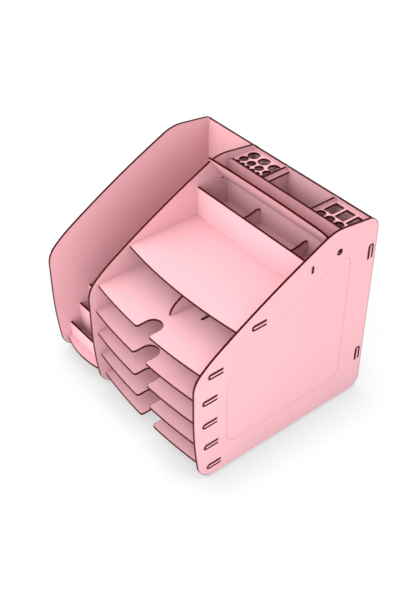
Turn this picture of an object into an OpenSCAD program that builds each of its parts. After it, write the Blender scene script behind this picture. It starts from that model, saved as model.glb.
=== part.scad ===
// Document rack cut from painted sheet, all pieces interlocking.
// Five paper trays lie under a top shelf, beside a bay for magazines. The top shelf carries
// a compartment under a swinging lid and, behind it, a pen holder with two pierced plates.
// Frame: X across the rack (right is +X), Y from the front to the back, Z up.
// The origin is on the floor, in the middle of the footprint. All sizes are in millimetres.

/* [Sheet] */
// Thickness of the sheet that every piece is cut from
sheet_t = 3; // [2.6:0.1:3.4]
// Gap on each side of a tab in its slot
fit_gap = 0.1; // [0.05:0.05:0.2]
// Gap between a moving piece and what it moves past
run_gap = 0.3; // [0.2:0.1:0.6]

/* [Side panels] */
// Depth of the side panels from front to back
panel_depth = 312; // [305:1:325]
// How far the foot of the front edge stands back
foot_back = 9.2; // [8:0.1:14]
// Radius of the front foot corner
foot_r = 30; // [26:1:34]
// Radius of the two rear corners
rear_r = 22; // [15:1:26]
// How far the top of the front edge stands back
brow_back = 0.9; // [0:0.1:2]
// Radius of the corner at the top of the front edge
brow_r = 37.5; // [28:0.5:38]
// Radius of the highest corner
peak_r = 62; // [40:1:66]
// Height of the highest corner over the walls of the pen holder, before rounding
peak_over = 10.3; // [8:0.1:14]
// Fall of the top edge from the highest corner to the rear corner
rear_fall = 10.8; // [6:0.2:14]
// Depth of the short steep slope over the front edge
brow_run = 26.3; // [26:0.1:30]
// Height of the short steep slope over the front edge
brow_rise = 23.1; // [23:0.1:26]
// Distance from the back panel to the rear edge of the side panels
rear_ledge = 11.2; // [9.6:0.1:14]

/* [Trays] */
// Clear width of the trays
tray_w = 232.6; // [226:0.1:250]
// Height from one tray to the next
tray_pitch = 42.05; // [40:0.05:45]
// Height of the lowest tray's mid plane
low_tray_z = 21.2; // [20:0.1:26]
// How far the middle of a tray's front edge bows out
front_bow = 8.5; // [6:0.5:12]
// Width of the finger notch
notch_w = 26; // [20:1:34]
// Length of the finger notch
notch_l = 31; // [24:1:38]
// Radius where the notch meets the front edge
notch_lip_r = 4.5; // [2:0.5:6]

/* [Snap slots] */
// Length of the tongue slot in a side panel
snap_l = 24; // [20:1:28]
// Distance from the mid plane of a tab to the mid line of its relief slot
relief_off = 6.6; // [6:0.1:7.4]
// Width of the relief slot
relief_w = 2; // [1.4:0.1:2.4]

/* [Magazine bay] */
// Clear width of the bay
bay_w = 101.8; // [90:0.1:120]
// Distance from one cross wall to the next
step_run = 19.6; // [17:0.1:22]
// Height that each cross wall adds to the one in front
step_rise = 27.3; // [22:0.1:30]
// Height of the first cross wall over the base
first_step = 25.6; // [20:0.2:34]
// How far the middle of the base's front edge bows out
base_bow = 8.9; // [4:0.1:10]

/* [Compartment and lid] */
// Clear depth of the compartment
box_depth = 53.5; // [50:0.5:56]
// Height of the front wall over the top shelf
box_h = 46.8; // [44:0.2:50]
// Height of the two dividers at their ends
divider_h = 28; // [24:0.5:36]
// How far the top edge of a divider dips in the middle
divider_dip = 7; // [3:0.5:9]
// Length of the lid from its pivot to the ends of its free edge
lid_l = 48.7; // [46:0.1:52]
// How far the middle of the lid's free edge bows out
lid_bow = 7.5; // [3:0.5:10]
// Distance from the pivot to the wall behind it
pivot_back = 7.8; // [7.2:0.1:10]
// Height of the pivot over the top shelf
pivot_h = 47.4; // [46:0.1:50]
// Radius of the pivot tabs
pivot_r = 4.4; // [3:0.1:5]
// Radial gap of the pivot tabs in their holes
pivot_gap = 0.08; // [0.04:0.01:0.1]
// Angle of the lid over the horizontal
lid_angle = 55; // [30:1:80]
// Radius of the lid's free corner on the right
lid_r = 12; // [6:1:16]

/* [Pen holder] */
// Clear depth of the pen holder
pen_depth = 45.2; // [45.2:0.1:52]
// Height of the pen holder's walls over the top shelf
pen_h = 75.1; // [68:0.1:80]
// Size of the cut at the two top corners of the middle wall
wall_cut = 6; // [1:0.5:6]
// Depth of the pierced plates under the edge of the walls
plate_drop = 6.3; // [4:0.1:9]
// Clear width of the left cell, under the plate with three rows of holes
left_cell_w = 70; // [69.5:0.1:75]
// Clear width of the right cell, under the plate with square holes
right_cell_w = 62.5; // [61.8:0.1:66]
// Diameter of the holes in the row at the back
big_d = 17.6; // [14:0.2:18]
// Distance from one hole to the next in the row at the back
big_pitch = 21.8; // [20:0.1:22.5]
// Diameter of the holes in the middle row
mid_d = 13; // [10:0.2:13.6]
// Distance from one hole to the next in the middle row
mid_pitch = 16.5; // [15.5:0.1:16.8]
// Diameter of the holes in the front row
small_d = 8; // [5:0.2:8.4]
// Distance from one hole to the next in the front row
small_pitch = 10.65; // [9.8:0.05:10.8]
// Diameter of the round holes in front of the square ones
round_d = 13.6; // [10:0.2:14]
// Distance from one of these round holes to the next
round_pitch = 16.8; // [15.5:0.1:17.5]
// Width of the square holes
square_w = 15.8; // [12:0.2:16.6]
// Length of the square holes
square_l = 23; // [16:0.5:24]
// Distance from one square hole to the next
square_pitch = 20.5; // [18.5:0.1:21]

/* [Tray dividers] */
// Distance from a tray's front edge to the nose of its divider
nose_in = 47; // [40:1:60]
// Length of the divider's curved nose
nose_l = 113; // [80:1:120]
// Place of the dividers across the trays, from the middle
divider_x = -2; // [-60:0.5:60]
// Distance of the slot in the highest tray from the middle of the tray
slot_off = 31; // [24:0.5:60]
// Distance from the highest tray's front edge to its slot
slot_in = 75; // [60:1:90]

/* [Hidden] */
paint = [0.98, 0.77, 0.79];
paint_light = [0.99, 0.83, 0.85];
paint_shade = [0.88, 0.62, 0.66];
arc_tol = 0.02;
tab_l = 24;

// Rows of holes: distance behind the middle wall, and of the first hole from the side panel
big_row = pen_depth - big_d / 2 - 2.6;
mid_row = pen_depth * 0.384;
small_row = small_d / 2 + 1.8;
round_row = round_d / 2 + 1.4;
square_row = pen_depth - square_l / 2 - 4.4;
big_margin = big_d / 2 + 4.9;
mid_margin = mid_d / 2 + 4.2;
small_margin = small_d / 2 + 5.5;
round_margin = round_d / 2 + 14.3;
square_margin = square_w / 2 + 2;

// Top, bottom and end radius of a snap slot, from the mid plane of its tab
snap_top = sheet_t / 2 + fit_gap;
snap_low = -relief_off - relief_w / 2;
snap_end_r = (snap_top - snap_low) / 2;

// Places across the rack
total_w = tray_w + bay_w + 3 * sheet_t;
x_right_in = total_w / 2 - sheet_t;
x_inner_right = x_right_in - tray_w;
x_inner_left = x_inner_right - sheet_t;
x_left_in = -total_w / 2 + sheet_t;
x_tray = (x_right_in + x_inner_right) / 2;
x_bay = (x_left_in + x_inner_left) / 2;

// Mid planes of the shelves, the lowest first and the top shelf last
function shelf_z(i) = low_tray_z + i * tray_pitch;
top_i = 5;
top_z = shelf_z(top_i) + sheet_t / 2;
tray_gap = tray_pitch - sheet_t;

// Front faces of the upright plates, as distances behind the panels' front edge
back_y = panel_depth - rear_ledge - sheet_t;
middle_y = back_y - pen_depth - sheet_t;
front_y = middle_y - box_depth - sheet_t;
pen_top = top_z + pen_h;
box_top = top_z + box_h;
plate_z = pen_top - plate_drop - sheet_t;
back_bottom = low_tray_z - 9;
lap_z = (pen_top + back_bottom) / 2;
back_tabs = [shelf_z(1) - 7.4, shelf_z(top_i) + 10];

// Axis of the lid
pivot_y = middle_y - pivot_back;
pivot_z = top_z + pivot_h;

// Unit vector from one point towards another
function unit(a, b) = (b - a) / norm(b - a);

// Points of an arc of radius r that rounds the corner b between a and c
function corner(a, b, c, r) =
    r <= 0 ? [b] :
    let (
        u = unit(b, a),
        v = unit(b, c),
        half = acos(u * v) / 2,
        mid = b + unit([0, 0], u + v) * r / sin(half),
        p = b + u * r / tan(half) - mid,
        q = b + v * r / tan(half) - mid,
        a0 = atan2(p[1], p[0]),
        turn = atan2(p[0] * q[1] - p[1] * q[0], p * q),
        n = max(2, ceil(abs(turn) * PI / 180 * r / sqrt(8 * r * arc_tol)))
    )
    [for (i = [0:n]) mid + r * [cos(a0 + turn * i / n), sin(a0 + turn * i / n)]];

// Closed outline through the points of list p, rounded by the radii of list r
function rounded(p, r) =
    let (n = len(p))
    [for (i = [0:n - 1]) each corner(p[(i + n - 1) % n], p[i], p[(i + 1) % n], r[i])];

// Radius at which the arc that rounds the corner b between a and c has tangents of length t
function fair_r(a, b, c, t) = t * tan(acos(unit(b, a) * unit(b, c)) / 2);

// Outline of the side panels: distance behind the front, and height
peak = [(front_y + middle_y) / 2 + 9, pen_top + peak_over];
brow_z = shelf_z(4) - 0.077 * tray_pitch;
slope_start = [brow_run, brow_z + brow_rise];
side_points = [
    [foot_back, 0],
    [0, shelf_z(1) + 0.46 * tray_pitch],
    [brow_back, brow_z],
    slope_start,
    [slope_start[0] + 0.419 * (peak[0] - slope_start[0]),
     slope_start[1] + 0.487 * (peak[1] - slope_start[1])],
    peak,
    [panel_depth, peak[1] - rear_fall],
    [panel_depth, 0]
];

// Length of the side that follows corner i, and radius of a long soft curve there
function side_len(i) = norm(side_points[i + 1] - side_points[i]);
function soft_r(i, t) = fair_r(side_points[i - 1], side_points[i], side_points[i + 1], t);
side_radii = [
    foot_r,
    soft_r(1, 0.51 * side_len(0)),
    brow_r,
    soft_r(3, 0.5 * side_len(2)),
    soft_r(4, 0.98 * (min(side_len(3), side_len(4)) - 0.5 * side_len(2))),
    peak_r,
    rear_r,
    rear_r - 4
];
side_outline = rounded(side_points, side_radii);

// Distance of the panels' front edge at height z
function front_edge(z) =
    let (n = len(side_outline))
    min([for (i = [0:n - 1])
        let (a = side_outline[i], b = side_outline[(i + 1) % n])
        if ((a[1] - z) * (b[1] - z) <= 0 && a[1] != b[1])
            a[0] + (z - a[1]) / (b[1] - a[1]) * (b[0] - a[0])]);

// Middle of a shelf's front edge
function shelf_front(i) = front_edge(shelf_z(i)) + (i == top_i ? 2.2 : i == 4 ? 1.9 : 0);

// Start of the snap slot of a shelf
function snap_y(i) = front_edge(shelf_z(i)) + (i == top_i ? 32 : i == 4 ? 17.5 : 14);

// Start of the snap slot of the magazine base
base_snap_y = 84;

// Points of a shallow arc of width w whose middle stands s in front of its ends
function bow(w, s, x0, x1, n) =
    let (r = (w * w / 4 + s * s) / (2 * s))
    [for (i = [0:n]) let (x = x0 + (x1 - x0) * i / n) [x, r - sqrt(r * r - x * x)]];

// Sheets lying flat, standing across the rack and standing from front to back
module flat_sheet(z) {
    translate([0, -panel_depth / 2, z]) linear_extrude(sheet_t) children();
}

module cross_sheet(y) {
    translate([0, y + sheet_t - panel_depth / 2, 0]) rotate([90, 0, 0])
        linear_extrude(sheet_t) children();
}

module side_sheet(x) {
    translate([x, -panel_depth / 2, 0]) rotate([90, 0, 90])
        linear_extrude(sheet_t) children();
}

// Opening of a through tab of size w by h, centred
module tab_hole(w, h) {
    square([w + 2 * fit_gap, h + 2 * fit_gap], center = true);
}

// Slot for a tab, with a relief slot below it that leaves a springy tongue between them
module snap_slot() {
    tongue_low = snap_low + relief_w;
    tongue_h = -snap_top - tongue_low;
    difference() {
        union() {
            translate([snap_end_r, snap_top - snap_end_r]) circle(snap_end_r, $fn = 48);
            translate([snap_end_r, snap_low])
                square([snap_l - snap_end_r, snap_top - snap_low]);
        }
        translate([relief_w + tongue_h / 2, tongue_low + tongue_h / 2])
            circle(tongue_h / 2, $fn = 32);
        translate([relief_w + tongue_h / 2, tongue_low]) square([snap_l, tongue_h]);
    }
}

// Two side tabs of a flat sheet of half width half, for snap slots that start at y
module snap_tabs(half, y) {
    reach = sheet_t + 1 + fit_gap;
    for (x = [-half - sheet_t - fit_gap, half - 1])
        translate([x, y + snap_end_r]) square([reach, snap_l - snap_end_r - fit_gap]);
}

// Side panel with the openings that all three have
module side_panel(x) {
    side_sheet(x) difference() {
        polygon(side_outline);
        children();
        for (z = back_tabs)
            translate([back_y + sheet_t / 2, z + snap_l]) mirror([1, 0]) rotate(-90)
                snap_slot();
    }
}

// Openings for the shelves, the compartment's front wall and the lid
module tray_slots() {
    for (i = [0:top_i])
        translate([snap_y(i), shelf_z(i)]) snap_slot();
    translate([front_y + sheet_t / 2, box_top - 5.7]) tab_hole(sheet_t, 10.8);
    translate([pivot_y, pivot_z]) circle(pivot_r + pivot_gap, $fn = 64);
}

// Opening for the magazine base
module base_slots() {
    translate([base_snap_y, shelf_z(0)]) snap_slot();
}

module left_outer_panel() {
    color(paint) side_panel(x_left_in - sheet_t) base_slots();
}

module inner_left_panel() {
    color(paint_shade) side_sheet(x_inner_left) difference() {
        polygon(side_outline);
        tray_slots();
        base_slots();
        translate([back_y - fit_gap, lap_z])
            square([sheet_t + 2 * fit_gap, peak[1]]);
    }
}

module right_side_panel() {
    color(paint) side_panel(x_right_in) tray_slots();
}

// Back panel, with a slot from below that crosses the inner panel
module back_panel() {
    color(paint_shade) cross_sheet(back_y) difference() {
        union() {
            translate([x_left_in + fit_gap, back_bottom])
                square([total_w - 2 * sheet_t - 2 * fit_gap, pen_top - back_bottom - 0.4]);
            for (z = back_tabs)
                translate([-total_w / 2, z + fit_gap])
                    square([total_w, snap_l - snap_end_r - fit_gap]);
        }
        translate([x_inner_left - fit_gap, back_bottom - 1])
            square([sheet_t + 2 * fit_gap, lap_z - back_bottom + 1]);
        for (i = [0:top_i], s = [-1, 1])
            translate([x_tray + s * tray_w * 0.3, shelf_z(i)]) tab_hole(tab_l, sheet_t);
        translate([x_bay, shelf_z(0)]) tab_hole(tab_l, sheet_t);
        for (x = pen_wall_x) translate([x, top_z + pen_h / 2]) tab_hole(sheet_t, tab_l);
        for (s = [-1, 1])
            translate([plate_tab_x(s), plate_z + sheet_t / 2]) tab_hole(tab_l / 2, sheet_t);
    }
}

// Flat outline of a shelf with its side tabs and rear tabs, before any notch
module shelf_outline(i) {
    y = shelf_front(i);
    half = tray_w / 2 - fit_gap;
    front = bow(2 * half, front_bow, -half, half, 24);
    translate([x_tray, 0]) {
        polygon(concat(
            [for (p = front) [p[0], y + p[1]]],
            [[half, back_y - fit_gap], [-half, back_y - fit_gap]]
        ));
        snap_tabs(half, snap_y(i));
        for (s = [-1, 1])
            translate([s * tray_w * 0.3 - tab_l / 2, back_y - 1])
                square([tab_l, sheet_t + 1]);
    }
}

// Finger notch with a round end and rounded lips
module notch(i) {
    y = shelf_front(i);
    r = notch_w / 2;
    lip = notch_w / 2 + notch_lip_r;
    over = 3;
    translate([x_tray, y]) {
        translate([-r, -over]) square([notch_w, notch_l - r + over]);
        translate([0, notch_l - r]) circle(r, $fn = 96);
        difference() {
            translate([-lip, -over]) square([2 * lip, over + notch_lip_r]);
            for (s = [-1, 1]) translate([s * lip, notch_lip_r])
                circle(notch_lip_r, $fn = 64);
        }
    }
}

module tray(i) {
    color(paint) flat_sheet(shelf_z(i) - sheet_t / 2) difference() {
        shelf_outline(i);
        notch(i);
        if (i == 4)
            translate([x_tray + slot_off - sheet_t / 2, shelf_front(i) + slot_in])
                square([sheet_t, back_y - shelf_front(i) - 1.9 * slot_in]);
    }
}

module tray_shelf_1() tray(0);
module tray_shelf_2() tray(1);
module tray_shelf_3() tray(2);
module tray_shelf_4() tray(3);
module tray_shelf_5() tray(4);

// Top shelf with the slots of all that stands on it
module top_shelf() {
    color(paint_light) flat_sheet(top_z - sheet_t) difference() {
        shelf_outline(top_i);
        for (s = [-1, 1], y = [front_y, middle_y])
            translate([x_tray + s * tray_w * 0.22, y + sheet_t / 2]) tab_hole(tab_l, sheet_t);
        for (x = pen_wall_x) {
            translate([x, front_y + sheet_t + box_depth / 2]) tab_hole(sheet_t, tab_l);
            translate([x, middle_y + sheet_t + pen_depth / 2]) tab_hole(sheet_t, tab_l);
        }
    }
}

// Two tabs that reach down through the top shelf
module foot_tabs() {
    for (s = [-1, 1])
        translate([x_tray + s * tray_w * 0.22 - tab_l / 2, top_z - sheet_t])
            square([tab_l, sheet_t + 1]);
}

module compartment_front_wall() {
    color(paint_light) cross_sheet(front_y) union() {
        translate([x_inner_right + fit_gap, top_z])
            square([tray_w - 2 * fit_gap, box_h]);
        translate([x_inner_right - sheet_t, box_top - 11.1])
            square([tray_w + 2 * sheet_t, 10.8]);
        foot_tabs();
    }
}

module middle_wall() {
    x0 = x_inner_right + fit_gap;
    x1 = x_right_in - fit_gap;
    color(paint_light) cross_sheet(middle_y) union() {
        polygon([
            [x0, top_z], [x1, top_z], [x1, pen_top - wall_cut], [x1 - wall_cut, pen_top],
            [x0 + wall_cut, pen_top], [x0, pen_top - wall_cut]
        ]);
        foot_tabs();
    }
}

// Mid planes of the pen holder's cross walls, in line with the compartment's dividers
pen_wall_x = [
    x_inner_right + left_cell_w + sheet_t / 2,
    x_right_in - right_cell_w - sheet_t / 2
];

// Divider of the compartment: a dipped top edge, a cut rear corner and a small hole below it
module compartment_divider(x) {
    w = box_depth - 2 * fit_gap;
    dip = bow(w, divider_dip, w / 2, -w / 2, 16);
    mid = front_y + sheet_t + box_depth / 2;
    high = top_z + divider_h;
    color(paint_light) side_sheet(x - sheet_t / 2) difference() {
        union() {
            polygon(concat(
                [[mid - w / 2, top_z], [mid + w / 2, top_z], [mid + w / 2, high - 4]],
                [for (p = dip) if (p[0] < w / 2 - 4) [mid + p[0], high - divider_dip + p[1]]]
            ));
            translate([mid - tab_l / 2, top_z - sheet_t]) square([tab_l, sheet_t + 1]);
        }
        translate([mid + w / 2 - 2.2, high - 5.4]) circle(1.1, $fn = 24);
    }
}

module compartment_divider_left() compartment_divider(pen_wall_x[0]);
module compartment_divider_right() compartment_divider(pen_wall_x[1]);

// Free edge of the lid from right to left: an arc with its right end rounded off
function lid_edge(half) =
    let (
        arc = bow(2 * half, lid_bow, -half, half, 24),
        last = len(arc) - 1,
        edge = [for (i = [last:-1:0]) [arc[i][0], lid_l + lid_bow - arc[i][1]]],
        kept = [for (p = edge) if (p[0] < half - 1.5 * lid_r) p]
    )
    concat(corner([half, -pivot_r], [half, lid_l], kept[0], lid_r), kept);

// Lid with a flat tab at each end that turns in a round hole
module lid() {
    half = tray_w / 2 - run_gap;
    color(paint_light) translate([x_tray, pivot_y - panel_depth / 2, pivot_z])
        rotate([180 - lid_angle, 0, 0]) {
            translate([0, 0, -sheet_t / 2]) linear_extrude(sheet_t)
                polygon(concat([[-half, -pivot_r], [half, -pivot_r]], lid_edge(half)));
            intersection() {
                translate([-tray_w / 2 - sheet_t, -pivot_r, -sheet_t / 2])
                    cube([tray_w + 2 * sheet_t, 2 * pivot_r, sheet_t]);
                translate([-tray_w / 2 - sheet_t, 0, 0]) rotate([0, 90, 0])
                    cylinder(h = tray_w + 2 * sheet_t, r = pivot_r, $fn = 64);
            }
        }
}

// Cross wall of the pen holder; its rear half is slotted for the pierced plate
module pen_cross_wall(x) {
    y0 = middle_y + sheet_t + fit_gap;
    y1 = back_y - fit_gap;
    mid = middle_y + sheet_t + pen_depth / 2;
    color(paint_light) side_sheet(x - sheet_t / 2) difference() {
        union() {
            polygon(rounded(
                [[y0, top_z], [y1, top_z], [y1, pen_top], [y0, pen_top]],
                [0, 0, 5, 0]
            ));
            translate([mid - tab_l / 2, top_z - sheet_t]) square([tab_l, sheet_t + 1]);
            translate([y1 - 1, top_z + pen_h / 2 - tab_l / 2])
                square([sheet_t + 1 + fit_gap, tab_l]);
        }
        translate([mid - fit_gap / 2, plate_z - fit_gap])
            square([pen_depth, sheet_t + 2 * fit_gap]);
    }
}

module pen_cross_wall_left() pen_cross_wall(pen_wall_x[0]);
module pen_cross_wall_right() pen_cross_wall(pen_wall_x[1]);

// Middle of the rear tab of a pierced plate: s is -1 for the left one and 1 for the right
function plate_tab_x(s) =
    s < 0 ? (x_inner_right + pen_wall_x[0]) / 2 : (x_right_in + pen_wall_x[1]) / 2;

// Blank of a pierced plate from x0 to x1, slotted at wall x for its front half
module plate_blank(x0, x1, x, s) {
    y0 = middle_y + sheet_t + fit_gap;
    mid = middle_y + sheet_t + pen_depth / 2;
    difference() {
        union() {
            translate([x0, y0]) square([x1 - x0, back_y - fit_gap - y0]);
            translate([plate_tab_x(s) - tab_l / 4, back_y - 1])
                square([tab_l / 2, sheet_t + 1]);
        }
        translate([x - sheet_t / 2 - fit_gap, y0 - 1])
            square([sheet_t + 2 * fit_gap, mid + fit_gap / 2 - y0 + 1]);
    }
}

module round_hole_plate() {
    x0 = x_inner_right + fit_gap;
    y0 = middle_y + sheet_t;
    color(paint) flat_sheet(plate_z) difference() {
        plate_blank(x0, pen_wall_x[0] + sheet_t * 1.5 + fit_gap, pen_wall_x[0], -1);
        for (i = [0:2])
            translate([x_inner_right + big_margin + i * big_pitch, y0 + big_row])
                circle(big_d / 2, $fn = 64);
        for (i = [0:3])
            translate([x_inner_right + mid_margin + i * mid_pitch, y0 + mid_row])
                circle(mid_d / 2, $fn = 64);
        for (i = [0:5])
            translate([x_inner_right + small_margin + i * small_pitch, y0 + small_row])
                circle(small_d / 2, $fn = 48);
    }
}

module square_hole_plate() {
    x1 = x_right_in - fit_gap;
    y0 = middle_y + sheet_t;
    color(paint) flat_sheet(plate_z) difference() {
        plate_blank(pen_wall_x[1] - sheet_t * 1.5 - fit_gap, x1, pen_wall_x[1], 1);
        for (i = [0:2])
            translate([x_right_in - square_margin - i * square_pitch, y0 + square_row])
                square([square_w, square_l], center = true);
        for (i = [0:2])
            translate([x_right_in - round_margin - i * round_pitch, y0 + round_row])
                circle(round_d / 2, $fn = 64);
    }
}

// Front faces of the magazine bay's cross walls
base_front = front_edge(shelf_z(0)) + 0.3;
function step_y(i) = base_front + 15.4 + i * step_run;

module magazine_base() {
    half = bay_w / 2 - fit_gap;
    front = bow(2 * half, base_bow, -half, half, 16);
    color(paint) flat_sheet(shelf_z(0) - sheet_t / 2) difference() {
        translate([x_bay, 0]) {
            polygon(concat(
                [for (p = front) [p[0], base_front + p[1]]],
                [[half, back_y - fit_gap], [-half, back_y - fit_gap]]
            ));
            snap_tabs(half, base_snap_y);
            translate([-tab_l / 2, back_y - 1]) square([tab_l, sheet_t + 1]);
        }
        for (i = [0:2], s = [-1, 1])
            translate([x_bay + s * bay_w / 4, step_y(i) + sheet_t / 2])
                tab_hole(tab_l, sheet_t);
    }
}

// Cross wall of the magazine bay, counted from the front
module magazine_wall(i) {
    z0 = shelf_z(0) + sheet_t / 2;
    color(paint) cross_sheet(step_y(i)) union() {
        translate([x_left_in + fit_gap, z0])
            square([bay_w - 2 * fit_gap, first_step + i * step_rise]);
        for (s = [-1, 1])
            translate([x_bay + s * bay_w / 4 - tab_l / 2, z0 - sheet_t])
                square([tab_l, sheet_t + 1]);
    }
}

module magazine_wall_front() magazine_wall(0);
module magazine_wall_middle() magazine_wall(1);
module magazine_wall_rear() magazine_wall(2);

// Divider that slides across tray i; its nose is a quarter of an ellipse
module tray_divider(i) {
    y0 = shelf_front(i) + nose_in;
    z0 = shelf_z(i) + sheet_t / 2 + run_gap;
    h = tray_gap - 2 * run_gap;
    color(paint_light) side_sheet(x_tray + divider_x - sheet_t / 2)
        polygon(concat(
            [for (a = [0:5:90]) [y0 + nose_l * (1 - cos(a)), z0 + h * sin(a)]],
            [[back_y - 5, z0 + h], [back_y - 5, z0]]
        ));
}

module upper_tray_divider() tray_divider(4);
module lower_tray_divider() tray_divider(3);

left_outer_panel();
inner_left_panel();
right_side_panel();
back_panel();
top_shelf();
tray_shelf_1();
tray_shelf_2();
tray_shelf_3();
tray_shelf_4();
tray_shelf_5();
compartment_front_wall();
middle_wall();
compartment_divider_left();
compartment_divider_right();
lid();
pen_cross_wall_left();
pen_cross_wall_right();
round_hole_plate();
square_hole_plate();
magazine_base();
magazine_wall_front();
magazine_wall_middle();
magazine_wall_rear();
upper_tray_divider();
lower_tray_divider();
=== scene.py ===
import math

import bpy
import numpy as np
from mathutils import Matrix, Vector


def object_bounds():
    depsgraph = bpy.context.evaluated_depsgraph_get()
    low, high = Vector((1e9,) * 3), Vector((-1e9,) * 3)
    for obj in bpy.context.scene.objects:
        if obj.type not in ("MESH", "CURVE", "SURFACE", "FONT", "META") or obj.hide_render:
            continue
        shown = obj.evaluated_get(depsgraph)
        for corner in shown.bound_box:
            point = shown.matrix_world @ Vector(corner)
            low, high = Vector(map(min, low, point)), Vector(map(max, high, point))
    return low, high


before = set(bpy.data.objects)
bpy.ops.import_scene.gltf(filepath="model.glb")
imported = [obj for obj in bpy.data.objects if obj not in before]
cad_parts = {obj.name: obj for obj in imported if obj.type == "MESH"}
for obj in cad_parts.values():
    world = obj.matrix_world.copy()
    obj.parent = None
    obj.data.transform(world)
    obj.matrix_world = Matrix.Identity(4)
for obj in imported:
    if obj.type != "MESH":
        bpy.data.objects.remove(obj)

bl_info = {
    "name": "Document Rack Finish",
    "version": (1, 0, 0),
    "blender": (4, 5, 0),
    "location": "View3D > Sidebar > Rack",
    "description": "Paints the document rack's sheet pieces and lights them in a plain studio",
    "category": "Object",
}

CAD_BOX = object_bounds()

SIDE_PANELS = ("left_outer_panel", "inner_left_panel", "right_side_panel")
TRAYS = ("tray_shelf_1", "tray_shelf_2", "tray_shelf_3", "tray_shelf_4", "tray_shelf_5")
COMPARTMENT = (
    "top_shelf", "compartment_front_wall", "middle_wall",
    "compartment_divider_left", "compartment_divider_right",
)
PEN_HOLDER = (
    "pen_cross_wall_left", "pen_cross_wall_right", "round_hole_plate", "square_hole_plate",
)
MAGAZINE_BAY = (
    "magazine_base", "magazine_wall_front", "magazine_wall_middle", "magazine_wall_rear",
)
TRAY_DIVIDERS = ("upper_tray_divider", "lower_tray_divider")

# Lengths below are in metres and angles in degrees

# Sides of the fine line on the right panel: the angle of each side over the horizontal, and
# a point of it as distance from the rear edge and height
OUTLINE_SIDES = (
    (90.0, -0.2572, 0.0), (180.0, 0.0, 0.0438), (-90.0, -0.0473, 0.0), (0.0, 0.0, 0.2747),
    (35.5, -0.162, 0.2409), (25.9, -0.162, 0.2216),
)
# Distance over which two sides join smoothly, half of the line's width, and how strongly its
# colour covers the paint
LINE_JOIN = 0.0334
LINE_HALF_WIDTH = 0.0005
LINE_COVER = 0.75
# The line is dotted where its distance exceeds that of its sloping sides by less than the
# margin. The dots have a pitch, a bare share of it, and the slope along which it is measured.
DOT_MARGIN = 0.0125
DOT_PITCH = 0.0036
DOT_GAP = 0.4
DOT_SLOPE = 30.0

# Least share of the normal that lies along a piece's thickness on a face
FACE_SHARE = 0.7
# Shift of the patterns from one seed to the next
PATTERN_SHIFT = (1.37, 0.71, 2.11)
# Scales of the slow drift of tone and of the coat's unevenness, per metre
DRIFT_SCALE = 9.0
UNEVEN_SCALE = 260.0
# How steeply the paint browns towards a cut edge, and how steeply that fades towards another
# piece within the reach
BROWN_GAIN = 2.7
TOUCH_GAIN = 4.0
TOUCH_REACH = 0.004
# Share of the thickness by which the char's pattern is pressed, which draws it into streaks,
# and the pattern's values for the dark and the brown char
STREAK_PRESS = 0.93
STREAK_DARK = 0.36
STREAK_BROWN = 0.62
# Roughness of the char where its streaks are lowest, how much they add, and how much the
# fibres change that of the paint
CHAR_ROUGHNESS = 0.62
CHAR_ROUGHNESS_SPREAD = 0.2
PAINT_ROUGHNESS_SPREAD = 0.12
# Strength of the reflections of paint and char
SHEEN = 0.06
# Share of the fibres in the relief of the paint, height of the streaks against it, and the
# relief's strength and depth
FIBRE_SHARE = 0.35
STREAK_RELIEF = 2.2
RELIEF_STRENGTH = 0.35
RELIEF_DEPTH = 0.00012

# Width of the floor, and its colour to the camera, under the glow, and to all other rays
FLOOR_WIDTH = 8.0
FLOOR_SEEN = (0.095, 0.10, 0.10)
FLOOR_LIT = (0.86, 0.86, 0.87)
# The floor's glow in the deepest shade, what the open floor adds to it, and how far the shade
# reaches from the rack
GLOW_LEAST = 0.48
GLOW_OPEN = 0.42
SHADE_REACH = 0.075
# Share of the glow that fades towards a panel that touches the floor as a painted contact shadow,
# and how far that reaches
CONTACT_SHARE = 0.5
CONTACT_REACH = 0.006
# Lamps by the name of their power: azimuth from +X towards +Y, and height over the horizon
LAMPS = (
    ("front", 270.0, 45.0), ("low_front", 270.0, 15.0),
    ("low_right", 315.0, 15.0), ("left", 180.0, 45.0),
)
LAMP_WIDTH = 1.2
LAMP_DISTANCE = 1.6
LAMP_AIM = (0.0, 0.0, 0.15)
# Where the camera looks, height of its frame in millimetres, and how far it sees
VIEW_DIRECTION = (-0.60212, 0.47315, -0.64309)
FRAME_HEIGHT = 36.0
VIEW_END = 50.0


class RackPaint(bpy.types.PropertyGroup):
    """Colours and surface of the painted sheet."""

    paint: bpy.props.FloatVectorProperty(
        name="Paint", description="Colour of the paint on every piece",
        subtype="COLOR", size=3, min=0.0, max=1.0, default=(0.860, 0.455, 0.497))
    mottle: bpy.props.FloatProperty(
        name="Mottle", description="How much the paint's tone drifts across a piece",
        default=0.03, min=0.0, max=0.2, subtype="FACTOR")
    grain: bpy.props.FloatProperty(
        name="Grain", description="How much the fibres under the paint change its tone",
        default=0.035, min=0.0, max=0.2, subtype="FACTOR")
    grain_size: bpy.props.FloatProperty(
        name="Grain Size", description="Width of the fibres that show through the paint",
        default=0.0009, min=0.0003, max=0.005, unit="LENGTH")
    roughness: bpy.props.FloatProperty(
        name="Roughness", description="Roughness of the paint",
        default=0.52, min=0.05, max=1.0, subtype="FACTOR")
    # Painted shade: the paint is darkened in recesses, red most, as far as ambient occlusion
    # finds other surfaces around it
    painted_recess_shade: bpy.props.FloatVectorProperty(
        name="Recess Tone", description="Share of the paint's tone that is left deep in recesses",
        subtype="COLOR", size=3, min=0.0, max=1.0, default=(0.68, 0.80, 0.80))
    painted_shade_reach: bpy.props.FloatProperty(
        name="Recess Reach", description="How far from a corner the paint starts to deepen",
        default=0.15, min=0.01, max=0.5, unit="LENGTH")
    line: bpy.props.FloatVectorProperty(
        name="Fine Line", description="Colour of the fine line on the right panel",
        subtype="COLOR", size=3, min=0.0, max=1.0, default=(0.50, 0.25, 0.28))


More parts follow.
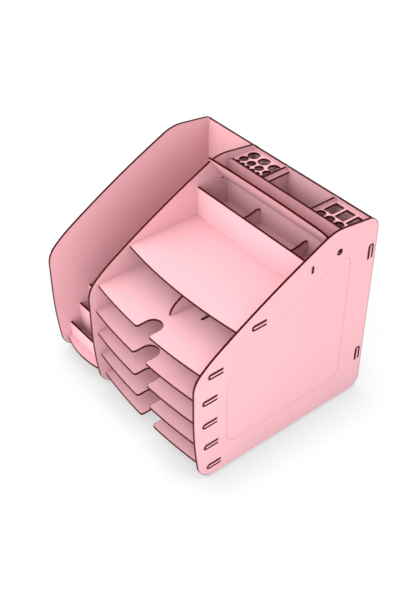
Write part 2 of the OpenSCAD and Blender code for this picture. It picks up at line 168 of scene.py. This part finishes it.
class RackCutEdge(bpy.types.PropertyGroup):
    """Colours of the scorched edges that the cutting leaves."""

    dark: bpy.props.FloatVectorProperty(
        name="Dark Char", description="Colour of the darkest streaks of a cut edge",
        subtype="COLOR", size=3, min=0.0, max=1.0, default=(0.024, 0.0015, 0.0010))
    brown: bpy.props.FloatVectorProperty(
        name="Brown Char", description="Main colour of a cut edge",
        subtype="COLOR", size=3, min=0.0, max=1.0, default=(0.070, 0.0040, 0.0030))
    streak: bpy.props.FloatProperty(
        name="Streak Width", description="Width of the streaks across a cut edge",
        default=0.0011, min=0.0003, max=0.01, unit="LENGTH")
    browned: bpy.props.FloatVectorProperty(
        name="Browned Paint", description="Colour of the paint right beside a cut edge",
        subtype="COLOR", size=3, min=0.0, max=1.0, default=(0.072, 0.007, 0.005))
    scorch: bpy.props.FloatProperty(
        name="Scorch Width", description="Width of the browned paint beside a cut edge",
        default=0.0015, min=0.0, max=0.003, unit="LENGTH")


class RackStage(bpy.types.PropertyGroup):
    """Camera, floor and lamps."""

    camera_place: bpy.props.FloatVectorProperty(
        name="Camera Place", description="Where the camera stands",
        size=3, unit="LENGTH", default=(0.83771, -0.66690, 1.03072))
    lens: bpy.props.FloatProperty(
        name="Lens", description="Focal length in millimetres for a frame 36 mm high",
        default=57.57, min=20.0, max=200.0, unit="CAMERA")
    camera_roll: bpy.props.FloatProperty(
        name="Camera Roll", description="Turn of the camera about its line of sight",
        default=math.radians(-0.391), unit="ROTATION")
    dome: bpy.props.FloatProperty(
        name="Dome", description="Strength of the even light from all round",
        default=0.90, min=0.0, max=2.0)
    front: bpy.props.FloatProperty(
        name="Front", description="Power of the lamp high in front",
        default=13.0, min=0.0, max=200.0, unit="POWER")
    low_front: bpy.props.FloatProperty(
        name="Low Front", description="Power of the lamp low in front",
        default=5.2, min=0.0, max=200.0, unit="POWER")
    low_right: bpy.props.FloatProperty(
        name="Low Right", description="Power of the lamp low at the front right corner",
        default=8.2, min=0.0, max=200.0, unit="POWER")
    left: bpy.props.FloatProperty(
        name="Left", description="Power of the lamp high at the left",
        default=5.4, min=0.0, max=200.0, unit="POWER")


def link(tree, source, target):
    """Joins an output socket to an input socket."""
    tree.links.new(source, target)


def math_node(tree, operation, a, b=None, c=None, clamp=False):
    """A Math node whose inputs are numbers or sockets; returns its output."""
    node = tree.nodes.new("ShaderNodeMath")
    node.operation = operation
    node.use_clamp = clamp
    for i, value in enumerate((a, b, c)):
        if value is None:
            continue
        if isinstance(value, bpy.types.NodeSocket):
            link(tree, value, node.inputs[i])
        else:
            node.inputs[i].default_value = value
    return node.outputs[0]


def dot_node(tree, socket, vector):
    """The dot product of a vector socket with a fixed vector."""
    node = tree.nodes.new("ShaderNodeVectorMath")
    node.operation = "DOT_PRODUCT"
    link(tree, socket, node.inputs[0])
    node.inputs[1].default_value = vector
    return node.outputs["Value"]


def scaled(tree, vector, factor):
    """A fixed vector times a number socket; returns its output."""
    node = tree.nodes.new("ShaderNodeVectorMath")
    node.operation = "SCALE"
    node.inputs[0].default_value = vector
    link(tree, factor, node.inputs["Scale"])
    return node.outputs[0]


def noise_node(tree, vector, scale, detail=2.0, rough=0.5):
    """A noise texture read at a vector socket; returns its value."""
    node = tree.nodes.new("ShaderNodeTexNoise")
    node.inputs["Scale"].default_value = scale
    node.inputs["Detail"].default_value = detail
    node.inputs["Roughness"].default_value = rough
    link(tree, vector, node.inputs["Vector"])
    return node.outputs["Fac"]


def openness(tree, reach, samples, inside=False):
    """Share of the rays from a place that meet nothing within a reach. The rays go outwards,
    or into the piece itself, whose own surface alone they then meet."""
    node = tree.nodes.new("ShaderNodeAmbientOcclusion")
    node.inside = inside
    node.only_local = inside
    node.samples = samples
    node.inputs["Distance"].default_value = reach
    return node.outputs["AO"]


def mix_value(tree, factor, a, b):
    """A mix of two number sockets; returns its output."""
    node = tree.nodes.new("ShaderNodeMix")
    link(tree, factor, node.inputs[0])
    link(tree, a, node.inputs[2])
    link(tree, b, node.inputs[3])
    return node.outputs[0]


def mix_colour(tree, factor, a, b, blend="MIX"):
    """A colour mix of two colours or sockets; returns its output."""
    node = tree.nodes.new("ShaderNodeMix")
    node.data_type = "RGBA"
    node.blend_type = blend
    for socket, value in ((node.inputs[0], factor), (node.inputs[6], a), (node.inputs[7], b)):
        if isinstance(value, bpy.types.NodeSocket):
            link(tree, value, socket)
        elif isinstance(value, (int, float)):
            socket.default_value = value
        else:
            socket.default_value = (*value, 1.0)
    return node.outputs[2]


def sheet_normal(node):
    """Unit vector across a piece's thickness: the direction in which its vertices spread
    least, which is the last right singular vector of the centred points."""
    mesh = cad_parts[node].data
    points = np.empty(len(mesh.vertices) * 3, dtype=np.float32)
    mesh.vertices.foreach_get("co", points)
    points = points.reshape(-1, 3).astype(np.float64)
    points -= points.mean(axis=0)
    axis = np.linalg.svd(points, full_matrices=False)[2][2]
    return Vector(axis * np.sign(axis[np.argmax(np.abs(axis))]))


def engraved_outline(tree, point):
    """Mask of the fine line on the right panel. The line runs where the distance to a
    six-sided shape is nought: the greatest of the distances to its sides, joined smoothly
    so that its corners are round. Its sloping sides are broken into dots."""
    rear = CAD_BOX[1][1]
    total = None
    sloping = []
    for angle, y, z in OUTLINE_SIDES:
        ny, nz = -math.sin(math.radians(angle)), math.cos(math.radians(angle))
        place = ny * (y + rear) + nz * z
        distance = math_node(tree, "SUBTRACT", dot_node(tree, point, (0.0, ny, nz)), place)
        if 0.0 < angle < 90.0:
            sloping.append(distance)
        total = distance if total is None else math_node(
            tree, "SMOOTH_MAX", total, distance, LINE_JOIN)
    line = math_node(tree, "LESS_THAN", math_node(tree, "ABSOLUTE", total), LINE_HALF_WIDTH)
    excess = math_node(tree, "SUBTRACT", total, math_node(tree, "MAXIMUM", *sloping))
    on_slope = math_node(tree, "LESS_THAN", excess, DOT_MARGIN)
    slope = math.radians(DOT_SLOPE)
    along = dot_node(tree, point, (
        0.0, math.cos(slope) / DOT_PITCH, math.sin(slope) / DOT_PITCH))
    gap = math_node(tree, "LESS_THAN", math_node(tree, "FRACT", along), DOT_GAP)
    return math_node(tree, "SUBTRACT", line, math_node(
        tree, "MULTIPLY", line, math_node(tree, "MULTIPLY", on_slope, gap)))


def browned_share(tree, scorch):
    """How browned the paint is: most beside a cut edge, which rays into the sheet meet, and
    not at all where another piece touches, which rays outwards meet."""
    edge = math_node(tree, "SUBTRACT", 1.0, openness(tree, scorch, samples=4, inside=True))
    bare = math_node(tree, "MULTIPLY_ADD", openness(tree, TOUCH_REACH, samples=4),
                     TOUCH_GAIN, 1.0 - TOUCH_GAIN, clamp=True)
    return math_node(
        tree, "MULTIPLY", math_node(tree, "MULTIPLY", edge, BROWN_GAIN, clamp=True), bare)


def paint_colour(tree, local, fibre, line):
    """Colour of a face: a slow drift of tone and the fibres under the coat, with painted shade
    in recesses, browned beside cut edges, with the fine line if there is one."""
    paint = bpy.context.scene.rack_paint
    cut = bpy.context.scene.rack_cut_edge
    drift = noise_node(tree, local, DRIFT_SCALE, detail=3.0, rough=0.55)
    tone = math_node(tree, "MULTIPLY_ADD", drift, 2 * paint.mottle, 1.0 - paint.mottle)
    tone = math_node(tree, "MULTIPLY_ADD", math_node(tree, "SUBTRACT", fibre, 0.5),
                     2 * paint.grain, tone)
    coat = scaled(tree, paint.paint, tone)
    # Painted shade in recesses: the coat is multiplied by the recess tone where short rays meet
    # other surfaces
    painted_shade_coat = mix_colour(tree, 1.0, coat, paint.painted_recess_shade, "MULTIPLY")
    coat = mix_colour(tree, openness(tree, paint.painted_shade_reach, samples=8), painted_shade_coat, coat)
    coat = mix_colour(tree, browned_share(tree, cut.scorch), coat, cut.browned)
    if line is not None:
        coat = mix_colour(tree, math_node(tree, "MULTIPLY", line, LINE_COVER), coat, paint.line)
    return coat


def char_streaks(tree, local, axis):
    """Noise pressed along the piece's thickness, which draws it into streaks across an edge."""
    depth = math_node(tree, "MULTIPLY", dot_node(tree, local, axis), STREAK_PRESS)
    pressed = tree.nodes.new("ShaderNodeVectorMath")
    pressed.operation = "SUBTRACT"
    link(tree, local, pressed.inputs[0])
    link(tree, scaled(tree, axis, depth), pressed.inputs[1])
    width = bpy.context.scene.rack_cut_edge.streak
    return noise_node(tree, pressed.outputs[0], 1.0 / width, detail=3.0, rough=0.6)


def char_colour(tree, streaks):
    """Colour of a cut edge, from the dark to the brown char as the streaks' value rises."""
    cut = bpy.context.scene.rack_cut_edge
    ramp = tree.nodes.new("ShaderNodeValToRGB")
    dark, brown = ramp.color_ramp.elements
    dark.position = STREAK_DARK
    dark.color = (*cut.dark, 1.0)
    brown.position = STREAK_BROWN
    brown.color = (*cut.brown, 1.0)
    link(tree, streaks, ramp.inputs[0])
    return ramp.outputs[0]


def relief_normal(tree, local, face, fibre, streaks, line):
    """Normal with the relief of the fibres and the uneven coat on a face, cut by the fine
    line if there is one, and with that of the streaks on a cut edge."""
    height = math_node(tree, "MULTIPLY_ADD", fibre, FIBRE_SHARE, math_node(
        tree, "MULTIPLY", noise_node(tree, local, UNEVEN_SCALE), 1.0 - FIBRE_SHARE))
    if line is not None:
        height = math_node(tree, "SUBTRACT", height, line)
    streak_height = math_node(tree, "MULTIPLY", streaks, STREAK_RELIEF)
    bump = tree.nodes.new("ShaderNodeBump")
    bump.inputs["Strength"].default_value = RELIEF_STRENGTH
    bump.inputs["Distance"].default_value = RELIEF_DEPTH
    link(tree, mix_value(tree, face, streak_height, height), bump.inputs["Height"])
    return bump.outputs[0]


def sheet_material(node, seed, outline=False):
    """Paint on the two faces of a piece and char on its cut edges. A place is on a face
    where the normal lies along the piece's thickness."""
    paint = bpy.context.scene.rack_paint
    axis = sheet_normal(node)
    material = bpy.data.materials.new("painted_sheet_" + node)
    material.use_nodes = True
    tree = material.node_tree
    tree.nodes.clear()
    out = tree.nodes.new("ShaderNodeOutputMaterial")
    shader = tree.nodes.new("ShaderNodeBsdfPrincipled")
    coord = tree.nodes.new("ShaderNodeTexCoord")
    point = coord.outputs["Object"]

    # A shift of its own gives every piece its own pattern
    shift = tree.nodes.new("ShaderNodeVectorMath")
    shift.operation = "ADD"
    link(tree, point, shift.inputs[0])
    shift.inputs[1].default_value = [seed * step for step in PATTERN_SHIFT]
    local = shift.outputs[0]

    face = math_node(
        tree, "GREATER_THAN",
        math_node(tree, "ABSOLUTE", dot_node(tree, coord.outputs["Normal"], axis)), FACE_SHARE)
    fibre = noise_node(tree, local, 1.0 / paint.grain_size, detail=3.0, rough=0.6)
    streaks = char_streaks(tree, local, axis)
    line = engraved_outline(tree, point) if outline else None

    coat = paint_colour(tree, local, fibre, line)
    link(tree, mix_colour(tree, face, char_colour(tree, streaks), coat),
         shader.inputs["Base Color"])
    char_rough = math_node(
        tree, "MULTIPLY_ADD", streaks, CHAR_ROUGHNESS_SPREAD, CHAR_ROUGHNESS)
    coat_rough = math_node(tree, "MULTIPLY_ADD", fibre, PAINT_ROUGHNESS_SPREAD,
                           paint.roughness - PAINT_ROUGHNESS_SPREAD / 2)
    link(tree, mix_value(tree, face, char_rough, coat_rough), shader.inputs["Roughness"])
    shader.inputs["Specular IOR Level"].default_value = SHEEN
    link(tree, relief_normal(tree, local, face, fibre, streaks, line), shader.inputs["Normal"])
    link(tree, shader.outputs[0], out.inputs["Surface"])
    return material


def paint_nodes(names, first_seed, outlined=()):
    """Gives each named piece a painted sheet material of its own."""
    for i, name in enumerate(names):
        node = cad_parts.get(name)
        if node is None:
            raise RuntimeError("no piece named " + name)
        material = sheet_material(name, first_seed + i, name in outlined)
        node.data.materials.clear()
        node.data.materials.append(material)


class RACK_OT_side_panels(bpy.types.Operator):
    """Paint the three side panels, with the fine line on the right one"""

    bl_idname = "rack.side_panels"
    bl_label = "Side Panels"

    def execute(self, context):
        paint_nodes(SIDE_PANELS, first_seed=1, outlined=("right_side_panel",))
        return {"FINISHED"}


class RACK_OT_back_panel(bpy.types.Operator):
    """Paint the back panel"""

    bl_idname = "rack.back_panel"
    bl_label = "Back Panel"

    def execute(self, context):
        paint_nodes(("back_panel",), first_seed=5)
        return {"FINISHED"}


class RACK_OT_trays(bpy.types.Operator):
    """Paint the five trays"""

    bl_idname = "rack.trays"
    bl_label = "Trays"

    def execute(self, context):
        paint_nodes(TRAYS, first_seed=7)
        return {"FINISHED"}


class RACK_OT_compartment(bpy.types.Operator):
    """Paint the top shelf and the walls and dividers of the compartment on it"""

    bl_idname = "rack.compartment"
    bl_label = "Compartment"

    def execute(self, context):
        paint_nodes(COMPARTMENT, first_seed=13)
        return {"FINISHED"}


class RACK_OT_lid(bpy.types.Operator):
    """Paint the swinging lid of the compartment"""

    bl_idname = "rack.lid"
    bl_label = "Lid"

    def execute(self, context):
        paint_nodes(("lid",), first_seed=19)
        return {"FINISHED"}


class RACK_OT_pen_holder(bpy.types.Operator):
    """Paint the cross walls and the pierced plates of the pen holder"""

    bl_idname = "rack.pen_holder"
    bl_label = "Pen Holder"

    def execute(self, context):
        paint_nodes(PEN_HOLDER, first_seed=21)
        return {"FINISHED"}


class RACK_OT_magazine_bay(bpy.types.Operator):
    """Paint the base and the stepped walls of the magazine bay"""

    bl_idname = "rack.magazine_bay"
    bl_label = "Magazine Bay"

    def execute(self, context):
        paint_nodes(MAGAZINE_BAY, first_seed=27)
        return {"FINISHED"}


class RACK_OT_tray_dividers(bpy.types.Operator):
    """Paint the two dividers that slide across the trays"""

    bl_idname = "rack.tray_dividers"
    bl_label = "Tray Dividers"

    def execute(self, context):
        paint_nodes(TRAY_DIVIDERS, first_seed=33)
        return {"FINISHED"}


def seen_directly(tree):
    """1 for rays of the camera and for those that mirrors and glass send on, or else 0."""
    rays = tree.nodes.new("ShaderNodeLightPath")
    return math_node(tree, "MAXIMUM", rays.outputs["Is Camera Ray"],
                     math_node(tree, "MAXIMUM", rays.outputs["Is Glossy Ray"],
                               rays.outputs["Is Transmission Ray"]))


def white_for_camera(tree, plain, strength):
    """Adds to a shader a white glow that only the camera, mirrors and glass see."""
    glow = tree.nodes.new("ShaderNodeEmission")
    glow.inputs["Color"].default_value = (1.0, 1.0, 1.0, 1.0)
    link(tree, math_node(tree, "MULTIPLY", seen_directly(tree), strength),
         glow.inputs["Strength"])
    both = tree.nodes.new("ShaderNodeAddShader")
    link(tree, plain, both.inputs[0])
    link(tree, glow.outputs[0], both.inputs[1])
    return both.outputs[0]


def make_floor():
    """A flat square with its middle under the rack. To the camera it is white, darker close
    to the rack and darkest where the panels touch it."""
    mesh = bpy.data.meshes.new("studio_floor")
    corners = np.array([(-1, -1, 0), (1, -1, 0), (1, 1, 0), (-1, 1, 0)]) * FLOOR_WIDTH / 2
    mesh.from_pydata(corners.tolist(), [], [(0, 1, 2, 3)])
    floor = bpy.data.objects.new("studio_floor", mesh)
    bpy.context.scene.collection.objects.link(floor)
    material = bpy.data.materials.new("studio_white")
    material.use_nodes = True
    tree = material.node_tree
    tree.nodes.clear()
    out = tree.nodes.new("ShaderNodeOutputMaterial")
    white = tree.nodes.new("ShaderNodeBsdfDiffuse")
    rays = tree.nodes.new("ShaderNodeLightPath")
    link(tree, mix_colour(tree, rays.outputs["Is Camera Ray"], FLOOR_LIT, FLOOR_SEEN),
         white.inputs["Color"])
    # Painted shadow: the camera's white glow is dimmed by ambient occlusion near the rack, and
    # more where the panels touch the floor
    shade = math_node(tree, "MULTIPLY_ADD", openness(tree, SHADE_REACH, samples=16),
                      GLOW_OPEN, GLOW_LEAST)
    painted_contact_shadow = math_node(tree, "MULTIPLY_ADD", openness(tree, CONTACT_REACH, samples=16),
                        CONTACT_SHARE, 1.0 - CONTACT_SHARE)
    glow = math_node(tree, "MULTIPLY", shade, painted_contact_shadow)
    link(tree, white_for_camera(tree, white.outputs[0], glow), out.inputs["Surface"])
    mesh.materials.append(material)


def make_world(strength):
    """An even dome; the camera and reflections see it as plain white."""
    world = bpy.data.worlds.new("studio_dome")
    bpy.context.scene.world = world
    world.use_nodes = True
    tree = world.node_tree
    tree.nodes.clear()
    out = tree.nodes.new("ShaderNodeOutputWorld")
    dome = tree.nodes.new("ShaderNodeBackground")
    dome.inputs["Color"].default_value = (1.0, 1.0, 1.0, 1.0)
    link(tree, math_node(tree, "MULTIPLY_ADD", seen_directly(tree), 1.0 - strength, strength),
         dome.inputs["Strength"])
    link(tree, dome.outputs[0], out.inputs["Surface"])


def add_lamp(name, azimuth, height, power):
    """A square lamp that shines at the rack's middle from an azimuth and a height, both in
    degrees. The camera doesn't see it."""
    lamp = bpy.data.lights.new(name, "AREA")
    lamp.shape = "SQUARE"
    lamp.size = LAMP_WIDTH
    lamp.energy = power
    holder = bpy.data.objects.new(name, lamp)
    turn, rise = math.radians(azimuth), math.radians(height)
    away = Vector((math.cos(rise) * math.cos(turn), math.cos(rise) * math.sin(turn),
                   math.sin(rise)))
    holder.location = Vector(LAMP_AIM) + LAMP_DISTANCE * away
    holder.rotation_euler = (-away).to_track_quat("-Z", "Y").to_euler()
    holder.visible_camera = False
    bpy.context.scene.collection.objects.link(holder)


def make_camera(place, lens, roll):
    """The view from the front right, 40 degrees above the horizon."""
    data = bpy.data.cameras.new("photo_view")
    data.sensor_fit = "VERTICAL"
    data.sensor_height = FRAME_HEIGHT
    data.lens = lens
    data.clip_end = VIEW_END
    camera = bpy.data.objects.new("photo_view", data)
    forward = Vector(VIEW_DIRECTION).normalized()
    right = forward.cross(Vector((0, 0, 1))).normalized()
    up = right.cross(forward)
    turn = Matrix((right, up, -forward)).transposed().to_4x4()
    camera.matrix_world = (
        Matrix.Translation(place) @ turn @ Matrix.Rotation(roll, 4, "Z"))
    bpy.context.scene.collection.objects.link(camera)
    bpy.context.scene.camera = camera


class RACK_OT_studio(bpy.types.Operator):
    """Make the camera, the pale floor, the dome and the lamps"""

    bl_idname = "rack.studio"
    bl_label = "Studio"

    def execute(self, context):
        stage = context.scene.rack_stage
        make_camera(stage.camera_place, stage.lens, stage.camera_roll)
        make_floor()
        make_world(stage.dome)
        for name, azimuth, height in LAMPS:
            add_lamp(name + "_lamp", azimuth, height, getattr(stage, name))
        context.scene.view_settings.view_transform = "Standard"
        return {"FINISHED"}


class RACK_PT_finish(bpy.types.Panel):
    """Lists the rack's sizes, colours and steps in the sidebar"""

    bl_idname = "RACK_PT_finish"
    bl_label = "Document Rack"
    bl_space_type = "VIEW_3D"
    bl_region_type = "UI"
    bl_category = "Rack"

    def draw(self, context):
        layout = self.layout
        for group in ("rack_paint", "rack_cut_edge", "rack_stage"):
            settings = getattr(context.scene, group)
            box = layout.box()
            for key in settings.bl_rna.properties.keys():
                if key not in {"rna_type", "name"}:
                    box.prop(settings, key)
        for step in STEPS:
            layout.operator(step.bl_idname)


STEPS = (
    RACK_OT_side_panels, RACK_OT_back_panel, RACK_OT_trays, RACK_OT_compartment,
    RACK_OT_lid, RACK_OT_pen_holder, RACK_OT_magazine_bay, RACK_OT_tray_dividers,
    RACK_OT_studio,
)
CLASSES = (RackPaint, RackCutEdge, RackStage, *STEPS, RACK_PT_finish)


def register():
    """Registers the classes and gives every scene their settings."""
    for cls in CLASSES:
        bpy.utils.register_class(cls)
    bpy.types.Scene.rack_paint = bpy.props.PointerProperty(type=RackPaint)
    bpy.types.Scene.rack_cut_edge = bpy.props.PointerProperty(type=RackCutEdge)
    bpy.types.Scene.rack_stage = bpy.props.PointerProperty(type=RackStage)


def unregister():
    """Removes the settings and the classes again."""
    del bpy.types.Scene.rack_stage
    del bpy.types.Scene.rack_cut_edge
    del bpy.types.Scene.rack_paint
    for cls in reversed(CLASSES):
        bpy.utils.unregister_class(cls)


def main():
    """Paints every piece and makes the studio."""
    register()
    bpy.ops.rack.side_panels()
    bpy.ops.rack.back_panel()
    bpy.ops.rack.trays()
    bpy.ops.rack.compartment()
    bpy.ops.rack.lid()
    bpy.ops.rack.pen_holder()
    bpy.ops.rack.magazine_bay()
    bpy.ops.rack.tray_dividers()
    bpy.ops.rack.studio()


if __name__ == "__main__":
    main()
